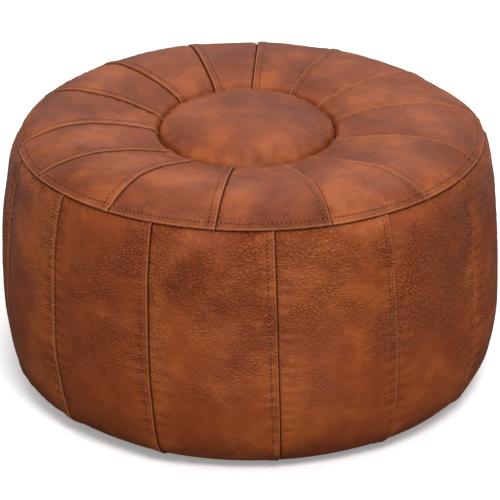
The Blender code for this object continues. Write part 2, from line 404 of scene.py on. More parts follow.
def place(radius, height, angle, on_top):
    """Points of the settled pouf: the top leans to the front, and its disc leans and sits off centre."""
    for middle, level, spread, reach, depth in PINCHES:
        drawn = near(degrees_apart(angle, middle), 0.0, spread) * near(height, level, reach)
        radius = radius - depth * drawn * smooth_step(CROWN[0], RIM_SEAM[0], radius)
    x = radius * np.sin(angle)
    y = -radius * np.cos(angle)
    fade = np.clip((CROWN[0] - radius) / (CROWN[0] - DISC_SEAM[0]), 0.0, 1.0) * on_top
    lean = LEAN * (height / RIM_SEAM[1]) ** 2 + DISC_LEAN * fade
    settled = height + lean * y
    for middle, spread, depth in SAGS:
        lowered = near(degrees_apart(angle, middle), 0.0, spread)
        lowered = lowered * np.clip(height / RIM_SEAM[1], 0.0, 1.0) ** 5
        settled = settled - depth * lowered * np.clip(radius / CROWN[0], 0.0, 1.0) ** 2
    return np.stack([x + DISC_SHIFT_X * fade, y, settled], axis=-1)


def side_rows(step):
    rows = resample(SIDE_LINE, step)
    rows[:, 1] = np.maximum(rows[:, 1], 0.0)
    return rows


def top_rows(step):
    radii = np.linspace(DISC_SEAM[0], RIM_SEAM[0], 60)
    return even_points(np.stack([radii, top_height(radii)], axis=1), step)


def edge_angles(node, lowest, highest, centre_x):
    """First and last angle, from the front, of a CAD panel's points between two radii."""
    points = np.array([vertex.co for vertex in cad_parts[node].data.vertices])
    points = points - (centre_x, 0.0, 0.0)
    radius = np.hypot(points[:, 0], points[:, 1])
    points = points[(radius >= lowest) & (radius <= highest)]
    low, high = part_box(node)
    middle = math.atan2(0.5 * (low.x + high.x), -0.5 * (low.y + high.y))
    angles = np.arctan2(points[:, 0], -points[:, 1])
    turned = (angles - middle + math.pi) % (2.0 * math.pi) - math.pi
    return middle + turned.min(), middle + turned.max()


def seam_angles(nodes, lowest, highest, centre_x=0.0):
    """Angle of the seam before each panel, halfway between it and its neighbour, rising round."""
    edges = [edge_angles(node, lowest, highest, centre_x) for node in nodes]
    seams = []
    for (_, before), (after, _) in zip([edges[-1]] + edges, edges):
        gap = (after - before + math.pi) % (2.0 * math.pi) - math.pi
        seams.append(after - 0.5 * gap)
    return np.unwrap(seams)


def with_last(seams):
    """The seams with the first again at the end, a full turn on."""
    return np.append(seams, seams[0] + 2.0 * math.pi)


# ---------------------------------------------------------------- meshes


def mesh_object(name, points, faces, material, smooth=True):
    mesh = bpy.data.meshes.new(name)
    mesh.from_pydata(np.asarray(points).tolist(), [], [tuple(map(int, face)) for face in faces])
    mesh.polygons.foreach_set("use_smooth", [smooth] * len(mesh.polygons))
    if material:
        mesh.materials.append(material)
    mesh.update()
    obj = bpy.data.objects.new(name, mesh)
    bpy.context.scene.collection.objects.link(obj)
    return obj


def grid_faces(rows, columns):
    """Quads of a grid of points, facing outwards for rows that go down and columns that go round."""
    index = np.arange(rows * columns).reshape(rows, columns)
    corners = (index[:-1, :-1], index[1:, :-1], index[1:, 1:], index[:-1, 1:])
    return np.stack([corner.ravel() for corner in corners], axis=1)


def facing(faces, this_way):
    """The faces as they are, or turned round to face the other way."""
    return faces if this_way else faces[:, ::-1]


def ring_faces(rings, sides):
    """Quads between closed rings of points that run outwards, with a face over the innermost ring."""
    index = np.arange(rings * sides).reshape(rings, sides)
    after = np.roll(index, -1, axis=1)
    corners = (index[:-1], index[1:], after[1:], after[:-1])
    return np.stack([corner.ravel() for corner in corners], axis=1).tolist() + [index[0].tolist()]


def belongs(obj, body, node=None):
    """The piece rides on its CAD body, and takes the place of a node."""
    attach(obj, body)
    if node:
        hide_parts(node)


def grid_normals(grid):
    """Outward normals at the points of a panel's grid."""
    return unit(np.cross(np.gradient(grid, axis=0), np.gradient(grid, axis=1)))


def ring_normals(grid):
    """Outward normals of closed rings of points that run outwards or down."""
    return grid_normals(np.concatenate([grid[:, -1:], grid, grid[:, :1]], axis=1))[:, 1:-1]


class Solid:
    """Collects closed shapes, each lofted through rings of points, into one mesh."""

    def __init__(self):
        self.points = []
        self.faces = []
        self.kinds = []

    def add(self, rings, kind, endless):
        """Takes in the rings and the quads between them, and returns the points' numbers."""
        index = len(self.points) + np.arange(rings.shape[0] * rings.shape[1]).reshape(rings.shape[:2])
        self.points.extend(rings.reshape(-1, 3).tolist())
        after = np.roll(index, -1, axis=1)
        corners = [index, after, np.roll(after, -1, axis=0), np.roll(index, -1, axis=0)]
        count = len(rings) if endless else len(rings) - 1
        quads = np.stack([corner[:count] for corner in corners], axis=-1).reshape(-1, 4).tolist()
        self.faces.extend(quads)
        self.kinds.extend([kind] * len(quads))
        return index

    def loft(self, rings, kind=0):
        """Rings run anticlockwise about the way they travel; the two ends are closed."""
        index = self.add(np.asarray(rings, float), kind, endless=False)
        self.faces.extend([index[0][::-1].tolist(), index[-1].tolist()])
        self.kinds.extend([kind, kind])

    def band(self, rings):
        """Rings joined into an endless loop, the last one to the first."""
        self.add(rings, 0, endless=True)

    def plate(self, outline, steps, centre=(0.0, 0.0, 0.0), axis="Z"):
        """An outline swept along an axis; each step gives how far in it is drawn, and how far along."""
        run = np.roll(outline, -1, axis=0) - np.roll(outline, 1, axis=0)
        inward = unit(np.stack([-run[:, 1], run[:, 0]], axis=1))
        rings = []
        for amount, along in steps:
            drawn = outline + inward * amount
            rings.append(np.hstack([drawn, np.full((len(drawn), 1), along)]))
        order = {"Z": (0, 1, 2), "Y": (1, 2, 0), "X": (2, 0, 1)}[axis]
        self.loft(np.array(rings)[..., order] + np.array(centre))

    def build(self, name, *materials):
        obj = mesh_object(name, self.points, self.faces, materials[0])
        for material in materials[1:]:
            obj.data.materials.append(material)
        obj.data.polygons.foreach_set("material_index", self.kinds)
        return obj


def add_value(obj, name, values):
    attribute = obj.data.attributes.new(name, "FLOAT", "POINT")
    attribute.data.foreach_set("value", np.asarray(values, np.float32).ravel())


def add_place(obj, places):
    """Where each point lies on the cut leather, in metres, for the grain and the dye."""
    attribute = obj.data.attributes.new("hide", "FLOAT_VECTOR", "POINT")
    attribute.data.foreach_set("vector", np.asarray(places, np.float32).ravel())


def add_skin(obj, thickness):
    modifier = obj.modifiers.new("skin", "SOLIDIFY")
    modifier.thickness = thickness
    modifier.offset = -1.0


def leather_piece(node, points, faces, values, material):
    """One piece of leather with its thickness; values are its seam, its ridge and its places."""
    obj = mesh_object(node + "_leather", points.reshape(-1, 3), faces, material)
    seam, ridge, places = values
    add_value(obj, "seam", seam)
    add_value(obj, "ridge", ridge)
    add_place(obj, places)
    add_skin(obj, SKIN)
    belongs(obj, "cover", node)


def edged(values):
    """A panel's values, repeated for the columns of its two turned-in edges."""
    pad = ((0, 0), (1, 1), (0, 0))
    return np.pad(values, pad[:values.ndim], mode="edge")


# ---------------------------------------------------------------- leather panels


def column_distances(widths):
    """Distance of each point from the first seam, row by row: close together by both seams."""
    first = np.array(FIRST_EDGE)
    last = np.array(LAST_EDGE)
    room = widths - first[-1] - last[-1]
    count = max(6, round(float(room.max()) / GRID_STEP))
    middle = first[-1] + room[:, None] * np.linspace(0.0, 1.0, count + 1)[1:-1]
    near_first = np.repeat(first[None, :], len(widths), axis=0)
    return np.hstack([near_first, middle, widths[:, None] - last[::-1]])


def graded_rows(line, near_start, near_end):
    """Points on a profile line, close together at its ends, with their distances along it."""
    lengths = lengths_along(line)
    total = lengths[-1]
    count = max(2, round((total - near_start[-1] - near_end[-1]) / GRID_STEP))
    middle = np.linspace(near_start[-1], total - near_end[-1], count + 1)[1:-1]
    at = np.concatenate([near_start, middle, total - np.array(near_end)[::-1]])
    return read_line(lengths, line, at), at


def seam_relief(to_first, to_last):
    """How far the leather stands off its swelled shape near its two side seams.

    Both edges turn down into the seam. The last edge carries the folded allowance, a raised
    band with a rounded fold, which ends just past its row of stitches.
    """
    groove = -SEAM_DEPTH * (near(to_first, 0.0, 0.0007) + near(to_last, 0.0, 0.0005))
    band = BAND_RISE * smooth_step(0.0, 0.0008, to_last) * (1.0 - smooth_step(0.0082, 0.0125, to_last))
    fold = 0.0009 * near(to_last, 0.0013, 0.0008)
    stitched = -STITCH_DENT * near(to_last, STITCH_FROM_SEAM, 0.0009)
    return groove + band + fold + stitched


def puckers(to_seam, along, seed, size, reach):
    """Small gathers across a seam, fading away from it."""
    line = np.stack([along, to_seam * 0.25, np.full_like(along, seed * 0.37)], axis=-1)
    waves = lattice_noise(line, 0.0075, seed) + 0.6 * lattice_noise(line, 0.0140, seed + 7)
    return size * waves * np.exp(-((np.abs(to_seam) / reach) ** 1.3))


def side_puckers(panel, at_last, at_first):
    """Gathers of these two sizes along a panel's last and first seam."""
    last = puckers(panel.to_last - 0.010, panel.along, panel.seed + 60, at_last, 0.010)
    first = puckers(panel.to_first - 0.003, panel.along, panel.seed + 80, at_first, 0.009)
    return last + first


def undulation(points, seed):
    """Slow unevenness of hand-packed stuffing, and fine creases of the leather over it."""
    slow = 0.0016 * lattice_noise(points, 0.085, seed) + 0.0008 * lattice_noise(points, 0.036, seed + 1)
    fine = 0.00028 * lattice_noise(points, 0.0125, seed + 2)
    return slow + fine + 0.00014 * lattice_noise(points, 0.0062, seed + 3)


class Panel:
    """One leather panel between two seams, as a grid of points with rows that run outwards and down."""

    def __init__(self, node, rows, at, length, first, last, on_top, seed):
        self.node = node
        self.rows = rows
        self.at = at
        self.length = length
        self.first = first
        self.last = last
        self.on_top = on_top
        self.seed = seed
        self.widths = (last - first) * rows[:, 0]
        self.to_first = column_distances(self.widths)
        self.to_last = self.widths[:, None] - self.to_first
        self.share = self.to_first / self.widths[:, None]
        self.angle = first[:, None] + (last - first)[:, None] * self.share
        self.along = np.repeat(at[:, None], self.share.shape[1], axis=1)
        self.swell = np.zeros((*self.share.shape, 3))

    def coarse(self):
        """A coarse grid for the simulation, its faces, and each point's distance to an edge."""
        down = np.linspace(0.0, self.length, round(self.length / CLOTH_STEP) + 1)
        across = np.linspace(0.0, 1.0, round(self.widths.max() / CLOTH_STEP) + 1)
        lines = (self.rows[:, 0], self.rows[:, 1], self.first, self.last)
        radius, height, first, last = (np.interp(down, self.at, line) for line in lines)
        angle = first[:, None] + (last - first)[:, None] * across
        grid = place(radius[:, None], height[:, None], angle, self.on_top)
        width = ((last - first) * radius)[:, None]
        to_seam = np.minimum(across, 1.0 - across) * width
        to_end = np.minimum(down, self.length - down)[:, None]
        to_edge = np.minimum(to_seam, to_end)
        return grid, grid_faces(*grid.shape[:2]), to_edge

    def take_swell(self, moved):
        """Spreads the coarse grid's movement over the fine one."""
        within = np.clip(self.at / self.length, 0.0, 1.0)
        down = smooth_read(moved, within * (len(moved) - 1))
        for row in range(len(self.at)):
            self.swell[row] = smooth_read(down[row], self.share[row] * (moved.shape[1] - 1))
        if self.on_top:
            self.swell *= TOP_SWELL
        else:
            self.swell *= smooth_step(0.001, 0.014, self.at)[:, None, None]

    def surface(self, rise):
        """Points this far out from the profile."""
        normals = outward(self.rows)
        radius = self.rows[:, :1] + normals[:, :1] * rise
        height = self.rows[:, 1:] + normals[:, 1:] * rise
        return place(radius, height, self.angle, self.on_top) + self.swell

    def finish(self, rise, drop, edge, ridge, material, slot):
        """Makes the object, with its allowances turned in at both seams."""
        self.grid, turned_in = (self.surface(rise - depth) for depth in (0.0, ALLOWANCE_DEPTH))
        for points in (self.grid, turned_in):
            points[..., 2] = np.maximum(points[..., 2] - drop, 0.0)
        whole = np.concatenate([turned_in[:, :1], self.grid, turned_in[:, -1:]], axis=1)
        piece = np.full_like(self.along, HIDE_SPACING * self.seed)
        places = np.stack([self.to_first, self.along, piece], axis=-1)
        values = map(edged, (edge, ridge, places))
        leather_piece(self.node, whole, grid_faces(*whole.shape[:2]), values, material)


def finish_wedge(panel, material):
    """The wedge's seam bands, its lip over the side, puckers and creases."""
    from_disc = panel.along
    from_rim = np.maximum(panel.length - from_disc, 0.0)
    on_lip = from_disc > panel.length
    to_seam = np.minimum(panel.to_first, panel.to_last)
    inside = smooth_step(0.0, 0.004, to_seam)
    loose = smooth_step(0.0, 0.02, from_disc) * smooth_step(0.0, 0.03, from_rim)
    flat = panel.surface(np.zeros_like(from_disc))
    rise = seam_relief(panel.to_first, panel.to_last) * (0.45 + 0.55 * smooth_step(0.0, 0.022, from_rim))
    rise += LIP_RISE * (1.0 - smooth_step(0.0066, 0.0105, from_rim))
    rise -= 0.0007 * near(from_rim, RIM_STITCH_FROM_EDGE, 0.0010) * ~on_lip
    gathers = smooth_step(0.002, 0.010, from_rim)
    rise += puckers(from_rim - 0.010, panel.to_first, panel.seed + 20, 0.0007, 0.014) * gathers
    gathers = smooth_step(0.0, 0.006, from_disc) * inside
    rise += puckers(from_disc, panel.to_first, panel.seed + 40, 0.0006, 0.016) * gathers
    rise += side_puckers(panel, 0.00022, 0.00018) * loose * inside
    rise += undulation(flat, 11) * loose
    drop = DISC_GROOVE * near(from_disc, 0.0, 0.0026)
    # Painted shade: darker in the seam grooves, in the groove round the disc and along both rows of
    # stitches.
    edge = np.exp(-np.minimum(to_seam, from_disc) / SEAM_SHADE)
    for to_thread in (panel.to_last - STITCH_FROM_SEAM, from_rim - RIM_STITCH_FROM_EDGE):
        edge = np.maximum(edge, STITCH_SHADE * near(to_thread, 0.0, 0.0008))
    # The ridge is painted lighter along the seam band's fold and the lip's edge: wear and painted
    # highlight.
    ridge = near(panel.to_last, RIDGE_FROM_SEAM, RIDGE_WIDTH)
    ridge = np.maximum(ridge, 0.65 * near(panel.length - from_disc, -0.0002, 0.0007))
    panel.finish(rise, drop, edge, ridge, material, "leather_top")


def finish_gore(panel, material):
    """The gore's seam bands, the gathers below the rim, puckers and creases."""
    from_top = panel.along
    height = panel.rows[:, 1:]
    to_seam = np.minimum(panel.to_first, panel.to_last)
    inside = smooth_step(0.0, 0.004, to_seam)
    loose = smooth_step(0.004, 0.03, from_top) * smooth_step(0.001, 0.03, height)
    flat = panel.surface(np.zeros_like(from_top))
    rise = seam_relief(panel.to_first, panel.to_last) * smooth_step(0.0005, 0.010, height)
    gathers = smooth_step(0.004, 0.010, from_top) * inside
    rise += puckers(from_top - 0.006, panel.to_first, panel.seed + 20, 0.0006, 0.016) * gathers
    rise += side_puckers(panel, 0.00035, 0.00030) * loose * inside
    rise += undulation(flat, 11) * loose
    # Painted shade: darker in the seam grooves, under the rim's lip and along the row of stitches.
    edge = np.exp(-np.minimum(to_seam, np.maximum(from_top - 0.0042, 0.0)) / SEAM_SHADE)
    edge = np.maximum(edge, STITCH_SHADE * near(panel.to_last, STITCH_FROM_SEAM, 0.0008))
    # The ridge is painted lighter along the seam band's fold: wear and painted highlight.
    ridge = near(panel.to_last, RIDGE_FROM_SEAM, RIDGE_WIDTH)
    panel.finish(rise, np.zeros_like(rise), edge, ridge, material, "leather_side")


def wedge_panels():
    inner, outer = DISC_SEAM[0], RIM_SEAM[0]
    at_disc = with_last(seam_angles(WEDGES, inner - 0.002, inner + 0.003, DISC_SHIFT_X))
    at_rim = with_last(seam_angles(WEDGES, outer - 0.003, outer + 0.003))
    rows, at = graded_rows(top_rows(0.001), DISC_EDGE, RIM_EDGE)
    length = at[-1]
    lip = np.array([(outer + r, RIM_SEAM[1] + z) for r, z in LIP])
    rows = np.vstack([rows, lip])
    at = np.concatenate([at, length + np.linspace(0.0, LIP_LENGTH, len(lip) + 1)[1:]])
    part = np.clip((rows[:, 0] - inner) / (outer - inner), 0.0, 1.0)
    part[-len(lip):] = 1.0
    seams = at_disc * (1.0 - part[:, None]) + at_rim * part[:, None]
    return [
        Panel(node, rows, at, length, seams[:, i], seams[:, i + 1], 1.0, 100 + i)
        for i, node in enumerate(WEDGES)
    ]


def gore_panels():
    seams = with_last(seam_angles(GORES, 0.25, 0.30))
    rows, at = graded_rows(side_rows(0.001), GORE_TOP_EDGE, (0.0, 0.003))
    twist = math.radians(TWIST) * (1.0 - np.clip(rows[:, 1] / RIM_SEAM[1], 0.0, 1.0)) ** 1.5
    length = float(np.interp(SIDE_HELD_HEIGHT, rows[::-1, 1], at[::-1]))
    return [
        Panel(node, rows, at, length, seams[i] + twist, seams[i + 1] + twist, 0.0, 200 + i)
        for i, node in enumerate(GORES)
    ]


class Disc:
    """The round leather disc in the middle of the top, as rings of points from the middle out."""

    node = "top_disc"

    def __init__(self):
        inner = np.linspace(0.0125, DISC_SEAM[0] - 0.003, 34)
        radii = DISC_SEAM[0] - np.concatenate([DISC_EDGE, inner])[::-1]
        angles = np.linspace(0.0, 2.0 * math.pi, 181)[:-1]
        self.radius, self.angle = np.meshgrid(radii, angles, indexing="ij")
        self.swell = np.zeros((*self.radius.shape, 3))

    def coarse(self):
        radii = np.linspace(DISC_SEAM[0], 0.0, round(DISC_SEAM[0] / CLOTH_STEP) + 1)[-2::-1]
        angles = np.linspace(0.0, 2.0 * math.pi, 73)[:-1]
        radius, angle = np.meshgrid(radii, angles, indexing="ij")
        grid = place(radius, disc_height(radius), angle, 1.0)
        self.coarse_radii = radii
        return grid, ring_faces(*grid.shape[:2]), DISC_SEAM[0] - radius

    def take_swell(self, moved):
        radii = self.coarse_radii
        down = smooth_read(moved, (self.radius[:, 0] - radii[0]) / (radii[1] - radii[0]))
        count = moved.shape[1]
        wrapped = np.concatenate([down[:, -2:], down, down[:, :3]], axis=1)
        at = 2.0 + self.angle[0] / (2.0 * math.pi) * count
        for row in range(len(down)):
            self.swell[row] = smooth_read(wrapped[row], at)

    def finish(self, material):
        edge = DISC_SEAM[0] - self.radius
        grid = place(self.radius, disc_height(self.radius), self.angle, 1.0) + self.swell
        rise = undulation(grid, 31) * smooth_step(0.0, 0.02, edge)
        around = self.angle * DISC_SEAM[0]
        rise += puckers(edge, around, 5, 0.0002, 0.014) * smooth_step(0.0, 0.005, edge)
        grid[..., 2] += rise - DISC_GROOVE * near(edge, 0.0, 0.0026)
        across, down = self.radius * np.sin(self.angle), self.radius * np.cos(self.angle)
        places = np.stack([across, down, np.full_like(edge, DISC_HIDE)], axis=-1)
        # Painted shade in the groove round the disc.
        values = (np.exp(-edge / DISC_SEAM_SHADE), np.zeros_like(edge), places)
        leather_piece(self.node, grid, ring_faces(*edge.shape), values, material)


# ---------------------------------------------------------------- cloth simulation


def cloth_piece(name, grid, faces, to_edge):
    """A sheet of leather held along its seams, gathered beside them and pressed from inside."""
    obj = mesh_object(name, grid.reshape(-1, 3), faces, None)
    held = np.flatnonzero(to_edge.ravel() < 1e-6)
    obj.vertex_groups.new(name="held").add(held.tolist(), 1.0, "ADD")
    uneven = 1.0 + GATHER_UNEVEN * lattice_noise(grid, 0.018, 71)
    smooth = 1.0 - np.exp(-to_edge / GATHER_REACH) * uneven
    group = obj.vertex_groups.new(name="smooth")
    for index, weight in enumerate(np.clip(smooth, 0.0, 1.0).ravel().tolist()):
        group.add([index], weight, "REPLACE")
    cloth = obj.modifiers.new("cloth", "CLOTH")
    cloth.point_cache.frame_start = 1
    cloth.point_cache.frame_end = CLOTH_FRAMES
    settings = cloth.settings
    settings.quality = CLOTH_QUALITY
    settings.mass = CLOTH_MASS
    settings.tension_stiffness = CLOTH_STIFFNESS
    settings.compression_stiffness = CLOTH_STIFFNESS
    settings.shear_stiffness = CLOTH_SHEAR
    settings.bending_stiffness = CLOTH_BENDING
    settings.air_damping = CLOTH_DAMPING
    settings.use_pressure = True
    settings.uniform_pressure_force = CLOTH_PRESSURE
    settings.vertex_group_mass = "held"
    settings.vertex_group_shrink = "smooth"
    settings.shrink_min = -CLOTH_GATHER
    settings.shrink_max = -CLOTH_SLACK
    settings.effector_weights.gravity = 0.0
    return obj


def capped(moved):
    """The movement with its length held under the cap."""
    length = np.linalg.norm(moved, axis=-1, keepdims=True)
    return moved * np.tanh(length / CLOTH_CAP) * CLOTH_CAP / np.maximum(length, 1e-9)


def swell(panels):
    """Swells all the panels at once with a cloth simulation, and gives each its movement."""
    started = [(panel, *panel.coarse()) for panel in panels]
    pieces = [cloth_piece(panel.node + "_cloth", *shape) for panel, *shape in started]
    for number in range(1, CLOTH_FRAMES + 1):
        bpy.context.scene.frame_set(number)
    graph = bpy.context.evaluated_depsgraph_get()
    for (panel, grid, *_), piece in zip(started, pieces):
        points = np.empty(grid.size, np.float32)
        piece.evaluated_get(graph).to_mesh().vertices.foreach_get("co", points)
        panel.take_swell(capped(points.reshape(grid.shape) - grid))
    for piece in pieces:
        bpy.data.objects.remove(piece)
    bpy.context.scene.frame_set(1)


# ---------------------------------------------------------------- stitches


def lines_at(fields, distances, distance):
    """Each field read where its rows are this far from an edge, one point to a row."""
    read = []
    for field in fields:
        rows = []
        for values, at in zip(field, distances):
            order = np.argsort(at)
            rows.append(read_line(at[order], values[order], distance))
        read.append(np.array(rows))
    return read


def looking_down(line):
    """The line with the direction its stitches stand out in, which is down."""
    return line, np.tile(DOWN, (len(line), 1))


def rings_along(centres, across, up, radii, sides):
    """Circles of points, anticlockwise about across x up."""
    turns = np.arange(sides) * 2.0 * math.pi / sides
    circle = np.cos(turns)[:, None] * across[:, None] + np.sin(turns)[:, None] * up[:, None]
    return centres[:, None] + circle * np.asarray(radii)[:, None, None]


def stitch_rings(start, stop, up):
    """One short thread that rises out of the leather and goes back in."""
    arch = np.array(THREAD_ARCH)
    run = stop - start
    across = unit(np.cross(up, run))
    centres = 0.5 * (start + stop) + arch[:, :1] * run + arch[:, 1:] * THREAD_RADIUS * up
    radii = THREAD_RADIUS * (1.0 - 0.25 * np.abs(2.0 * arch[:, 0]) ** 3)
    count = len(arch)
    sideways = np.tile(-across, (count, 1))
    return rings_along(centres, np.tile(up, (count, 1)), sideways, radii, THREAD_SIDES)


def hole_shade_rings(centre, run, up):
    """The needle hole where the thread goes through the leather: a dimple of painted shade, as a shallow
    dark lens.
    """
    shape = np.array(HOLE_RINGS)
    across = unit(np.cross(run, up))
    axes = [np.tile(axis, (len(shape), 1)) for axis in (across, np.cross(up, across))]
    return rings_along(centre + shape[:, 1:] * up, *axes, shape[:, 0], HOLE_SIDES)


def stitch_row(name, lines, pitch, materials):
    """Rows of stitches with a needle hole of painted shade between each two, as one mesh."""
    solid = Solid()
    for line, ups in lines:
        lengths = lengths_along(line)
        count = int(lengths[-1] / pitch)
        for number in range(count):
            middle = (number + 0.5) * lengths[-1] / count
            reach = 0.5 * pitch * STITCH_SHARE
            places = (middle - reach, middle + reach, middle + 0.5 * pitch)
            start, stop, hole = (read_line(lengths, line, at) for at in places)
            up = unit(read_line(lengths, ups, middle))
            solid.loft(stitch_rings(start, stop, up))
            solid.loft(hole_shade_rings(hole, stop - start, up), 1)
    belongs(solid.build(name, *materials), "cover")


def rim_line(panel):
    """Points and outward normals along the wedge's row of stitches beside the rim."""
    fields = [field.swapaxes(0, 1) for field in (panel.grid, grid_normals(panel.grid))]
    from_rim = np.broadcast_to(panel.length - panel.at, fields[0].shape[:2])
    return lines_at(fields, from_rim, RIM_STITCH_FROM_EDGE)


def stitch_seam(panel, keep, pitch, materials):
    """The row of stitches along the panel's last seam, over the rows to keep."""
    fields = (panel.grid, grid_normals(panel.grid))
    line, ups = lines_at(fields, panel.to_last, STITCH_FROM_SEAM)
    stitch_row(panel.node + "_stitches", [(line[keep], ups[keep])], pitch, materials)


def build_stitches(wedges, gores, materials):
    for panel in wedges:
        keep = (panel.at > 0.006) & (panel.at < panel.length - 0.0068)
        stitch_seam(panel, keep, STITCH_PITCH_TOP, materials)
    stitch_row("rim_stitches", [rim_line(panel) for panel in wedges], STITCH_PITCH_TOP, materials)
    for panel in gores:
        keep = (panel.at > 0.008) & (panel.grid[:, 0, 2] > 0.004)
        stitch_seam(panel, keep, STITCH_PITCH_SIDE, materials)


# ---------------------------------------------------------------- base


def base_edges(side, reach):
    """Matching points along the half's round outer edge and along its edge beside the zip."""
    turns = np.linspace(-0.5 * math.pi, 0.5 * math.pi, 121)
    outer = np.stack([reach * np.sin(turns), side * reach * np.cos(turns)], axis=1)
    along = SLOT_REACH * turns / (0.5 * math.pi)
    opening = 1.0 - smooth_step(SLOT_REACH - 0.008, SLOT_REACH, np.abs(along))
    inner = np.stack([along, side * (HALF_GAP + SLOT_HALF_WIDTH * opening)], axis=1)
    return turns, outer, inner


def build_base_half(node, side, material, threads):
    """Half of the base: leather with a folded, twice-stitched hem along the zip, bulging a little."""
    low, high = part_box(node)
    reach = high.x + BASE_REACH
    turns, outer, inner = base_edges(side, reach)
    widths = np.linalg.norm(outer - inner, axis=1)
    to_outer = column_distances(widths)
    to_zip = widths[:, None] - to_outer
    share = (to_outer / widths[:, None])[..., None]
    flat = outer[:, None] * (1.0 - share) + inner[:, None] * share
    crown = np.clip(4.0 * share[..., 0] * (1.0 - share[..., 0]), 0.0, 1.0)
    around = np.repeat((reach * turns)[:, None], to_outer.shape[1], axis=1)
    rise = BASE_BULGE * crown * widths[:, None] / reach + seam_relief(to_outer, to_zip)
    rise -= STITCH_DENT * near(to_zip, HEM_STITCH, 0.0009)
    gathers = smooth_step(0.001, 0.006, to_outer)
    rise += puckers(to_outer - 0.004, around, 310, 0.0006, 0.012) * gathers
    level = np.concatenate([flat, np.zeros_like(share)], axis=-1)
    loose = smooth_step(0.0, 0.03, to_outer) * smooth_step(0.008, 0.03, to_zip)
    rise += 0.6 * undulation(level, 17) * loose
    grid = np.concatenate([flat, (low.z - rise)[..., None]], axis=-1)
    edges = grid[:, [0, -1]] + (0.0, 0.0, HEM_TURN_IN)
    whole = np.concatenate([edges[:, :1], grid, edges[:, 1:]], axis=1)
    # Painted shade in the grooves of the outer seam and of the hem by the zip.
    edge = np.exp(-np.minimum(to_outer, to_zip) / SEAM_SHADE)
    # The ridge is painted lighter along the hem's fold: wear and painted highlight.
    ridge = near(to_zip, RIDGE_FROM_SEAM, RIDGE_WIDTH)
    places = np.stack([around, to_outer, np.full_like(around, BASE_HIDE + side)], axis=-1)
    values = map(edged, (edge, ridge, places))
    faces = facing(grid_faces(*whole.shape[:2]), side > 0)
    leather_piece(node, whole, faces, values, material)
    keep = np.abs(inner[:, 0]) < SLOT_REACH - 0.010
    lines = [lines_at([grid], to_zip, distance)[0] for distance in (HEM_STITCH, STITCH_FROM_SEAM)]
    rows = [looking_down(line[keep]) for line in lines]
    stitch_row(node + "_stitches", rows, STITCH_PITCH_SIDE, threads)


# ---------------------------------------------------------------- zip


def tube(solid, line, radius, sides):
    """Adds a round tube along the line to the solid."""
    run = unit(np.gradient(line, axis=0))
    across = unit(np.cross(run, (1.0, 0.02, 0.03)))
    solid.loft(rings_along(line, across, np.cross(run, across), np.full(len(line), radius), sides))


def build_coil(node, side, material):
    """One side of the zip: a spiral of nylon whose loops pass between the other side's, round a cord."""
    low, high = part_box(node)
    middle = 0.5 * (low.z + high.z)
    turns = int((high.x - low.x - 2.0 * COIL_PITCH) / COIL_PITCH)
    angle = np.linspace(0.0, 2.0 * math.pi * turns, turns * COIL_STEPS + 1)
    start = low.x + (0.5 if side < 0 else 1.0) * COIL_PITCH
    x = start + COIL_PITCH * angle / (2.0 * math.pi)
    y = side * (COIL_MIDDLE + COIL_HALF_WIDTH * np.cos(angle))
    solid = Solid()
    spiral = np.stack([x, y, middle + COIL_HALF_HEIGHT * np.sin(angle)], axis=1)
    tube(solid, spiral, COIL_WIRE, 6)
    cord_x = np.linspace(low.x, high.x, 240)
    twist = 0.00005 * np.sin(cord_x * 2400.0)
    cord = np.stack([cord_x, np.full_like(cord_x, side * CORD_Y), middle + twist], axis=1)
    tube(solid, cord, CORD_RADIUS, 6)
    belongs(solid.build(node + "_spiral", material), "cover", node)


def build_tape(node, side, material, threads):
    """Woven tape with beaded edges and a slight ripple, stitched down beside the coil."""
    low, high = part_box(node)
    inner, outer = (high.y, low.y) if side < 0 else (low.y, high.y)
    stretches = ((0.0, 0.30, 11), (0.36, 0.80, 9), (0.84, 1.0, 7))
    share = np.concatenate([np.linspace(*stretch) for stretch in stretches])
    x = np.linspace(low.x, high.x, 221)
    across = inner + (outer - inner) * share
    grid = np.stack(np.broadcast_arrays(x[:, None], across[None, :], 0.0), axis=-1).copy()
    bead = 0.00018 * near(share, 0.16, 0.05) + 0.00014 * near(share, 0.93, 0.04)
    ripple = 0.00014 * lattice_noise(grid * (1.0, 0.2, 1.0), 0.013, 90) * share
    grid[..., 2] = low.z + 0.00022 + ripple - bead
    faces = facing(grid_faces(*grid.shape[:2]), side < 0)
    obj = mesh_object(node + "_weave", grid.reshape(-1, 3), faces, material)
    add_place(obj, grid)
    add_skin(obj, 0.0006)
    belongs(obj, "cover", node)
    line = grid[4:-4, 9] - (0.0, 0.0, 0.00005)
    stitch_row(node + "_stitches", [looking_down(line)], TAPE_STITCH_PITCH, threads)


def rounded(low, high, soft):
    """Steps for Solid.plate between two heights, with the edges rounded off."""
    bend = ((1.0, 0.0), (0.55, 0.11), (0.20, 0.38), (0.0, 1.0))
    start = [(amount * soft, low + along * soft) for amount, along in bend]
    return start + [(amount * soft, high - along * soft) for amount, along in bend[::-1]]


def oval(half_length, half_width, power, count=40, taper=0.0):
    """A rounded rectangle, anticlockwise, that may narrow towards its -X end."""
    turns = np.linspace(0.0, 2.0 * math.pi, count + 1)[:-1]
    x = half_length * np.sign(np.cos(turns)) * np.abs(np.cos(turns)) ** (2.0 / power)
    y = half_width * np.sign(np.sin(turns)) * np.abs(np.sin(turns)) ** (2.0 / power)
    return np.stack([x, y * (1.0 - taper * 0.5 * (1.0 - x / half_length))], axis=1)


